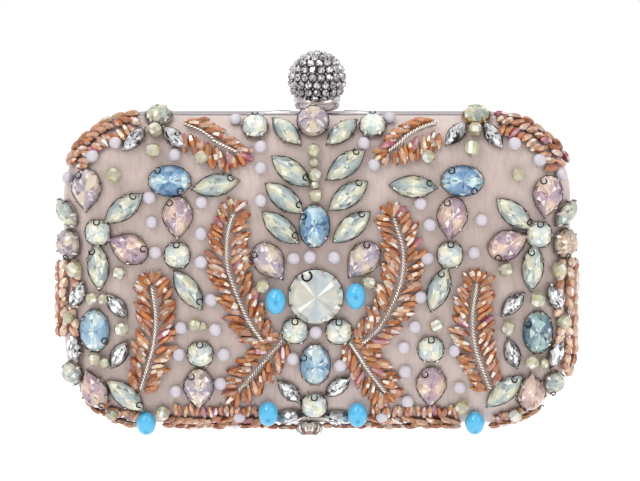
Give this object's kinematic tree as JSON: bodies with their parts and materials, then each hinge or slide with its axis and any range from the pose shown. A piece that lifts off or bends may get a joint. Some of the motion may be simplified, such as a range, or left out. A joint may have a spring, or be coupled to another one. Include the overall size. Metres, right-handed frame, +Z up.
{
  "type": "box clutch evening bag",
  "caption": "Hard box clutch: two hinged satin covered half shells in metal rims, jewelled front, and a crystal ball clasp on a tilting hook lever.",
  "frame": {"origin": "on the flat resting face under the back rim, at the middle of the bag's width; the two halves part 3.5 mm in front of it, at y = -0.0035", "axes": "+X to the bag's right seen from the front, +Z up, the jewelled front faces -Y"},
  "size_m": [0.1702, 0.0535, 0.1255],
  "materials": {
    "rim_metal": "polished silver, slightly worn along its edges",
    "hardware_metal": "plated steel, fine brushing",
    "spring_steel": "drawn spring wire",
    "setting_metal": "dark gunmetal plating",
    "satin": "pinkish taupe satin with a fine diagonal weave and soft sheen",
    "shell_board": "pressed board",
    "lining_fabric": "plain satin lining",
    "crystal": "pave of small foiled crystals in a metal net",
    "opal_glass": "milky green white opal, faceted and foiled",
    "blue_glass": "blue faceted, foiled",
    "pink_glass": "pink with lilac and peach flashes, faceted and foiled",
    "turquoise_glass": "opaque glossy turquoise",
    "amber_glass": "peach orange drop beads with gold and pink flashes"
  },
  "bodies": {
    "back_half": {"back_rim": "rim_metal", "back_board": "shell_board", "back_satin_cover": "satin", "back_lining": "lining_fabric", "hinge_leaf_back_left": "hardware_metal", "hinge_leaf_back_right": "hardware_metal", "hinge_pin_left": "hardware_metal", "hinge_pin_right": "hardware_metal", "clasp_bracket": "hardware_metal", "clasp_pivot_pin": "hardware_metal", "clasp_spring": "spring_steel"},
    "front_half": {"front_rim": "rim_metal", "hinge_leaf_front_left": "hardware_metal", "hinge_leaf_front_right": "hardware_metal", "catch_plate": "hardware_metal", "centre_setting": "setting_metal", "front_satin_cover": "satin", "front_board": "shell_board", "front_lining": "lining_fabric", "opal_pear_centre_left": "opal_glass", "opal_pear_centre_right": "opal_glass", "centre_stone": "opal_glass", "blue_oval_top": "blue_glass", "blue_oval_bottom": "blue_glass", "blue_oval_upper_left": "blue_glass", "blue_oval_upper_right": "blue_glass", "blue_oval_lower_left": "blue_glass", "blue_oval_lower_right": "blue_glass", "pink_pear_upper_outer_left": "pink_glass", "pink_pear_upper_outer_right": "pink_glass", "pink_pear_upper_left": "pink_glass", "pink_pear_upper_right": "pink_glass", "pink_pear_flank_left": "pink_glass", "pink_pear_flank_right": "pink_glass", "pink_pear_lower_left": "pink_glass", "pink_pear_lower_right": "pink_glass", "pink_pear_corner_left": "pink_glass", "pink_pear_corner_right": "pink_glass", "pink_round_top": "pink_glass", "turquoise_bead_centre_left": "turquoise_glass", "turquoise_bead_centre_right": "turquoise_glass", "turquoise_bead_lower_left": "turquoise_glass", "turquoise_bead_lower_right": "turquoise_glass", "turquoise_bead_foot_left": "turquoise_glass", "turquoise_bead_foot_right": "turquoise_glass", "leaf_spray_top_left": "amber_glass", "leaf_spray_top_right": "amber_glass", "leaf_spray_middle_left": "amber_glass", "leaf_spray_middle_right": "amber_glass", "leaf_spray_outer_left": "amber_glass", "leaf_spray_outer_right": "amber_glass", "leaf_spray_lower_left": "amber_glass", "leaf_spray_lower_right": "amber_glass", "edge_beads_bottom_left": "amber_glass", "edge_beads_bottom_right": "amber_glass", "edge_beads_side_left": "amber_glass", "edge_beads_side_right": "amber_glass"},
    "clasp": {"clasp_lever": "hardware_metal", "clasp_cup": "rim_metal", "clasp_ball": "crystal"}
  },
  "joints": [
    {"name": "shell_open", "type": "hinge", "parent": "back_half", "child": "front_half", "pos_m": [0, -0.0035, 0], "axis": [1, 0, 0], "range_deg": [0, 85]},
    {"name": "clasp_press", "type": "hinge", "parent": "back_half", "child": "clasp", "pos_m": [0, -0.0005, 0.098], "axis": [-1, 0, 0], "range_deg": [0, 8]}
  ]
}
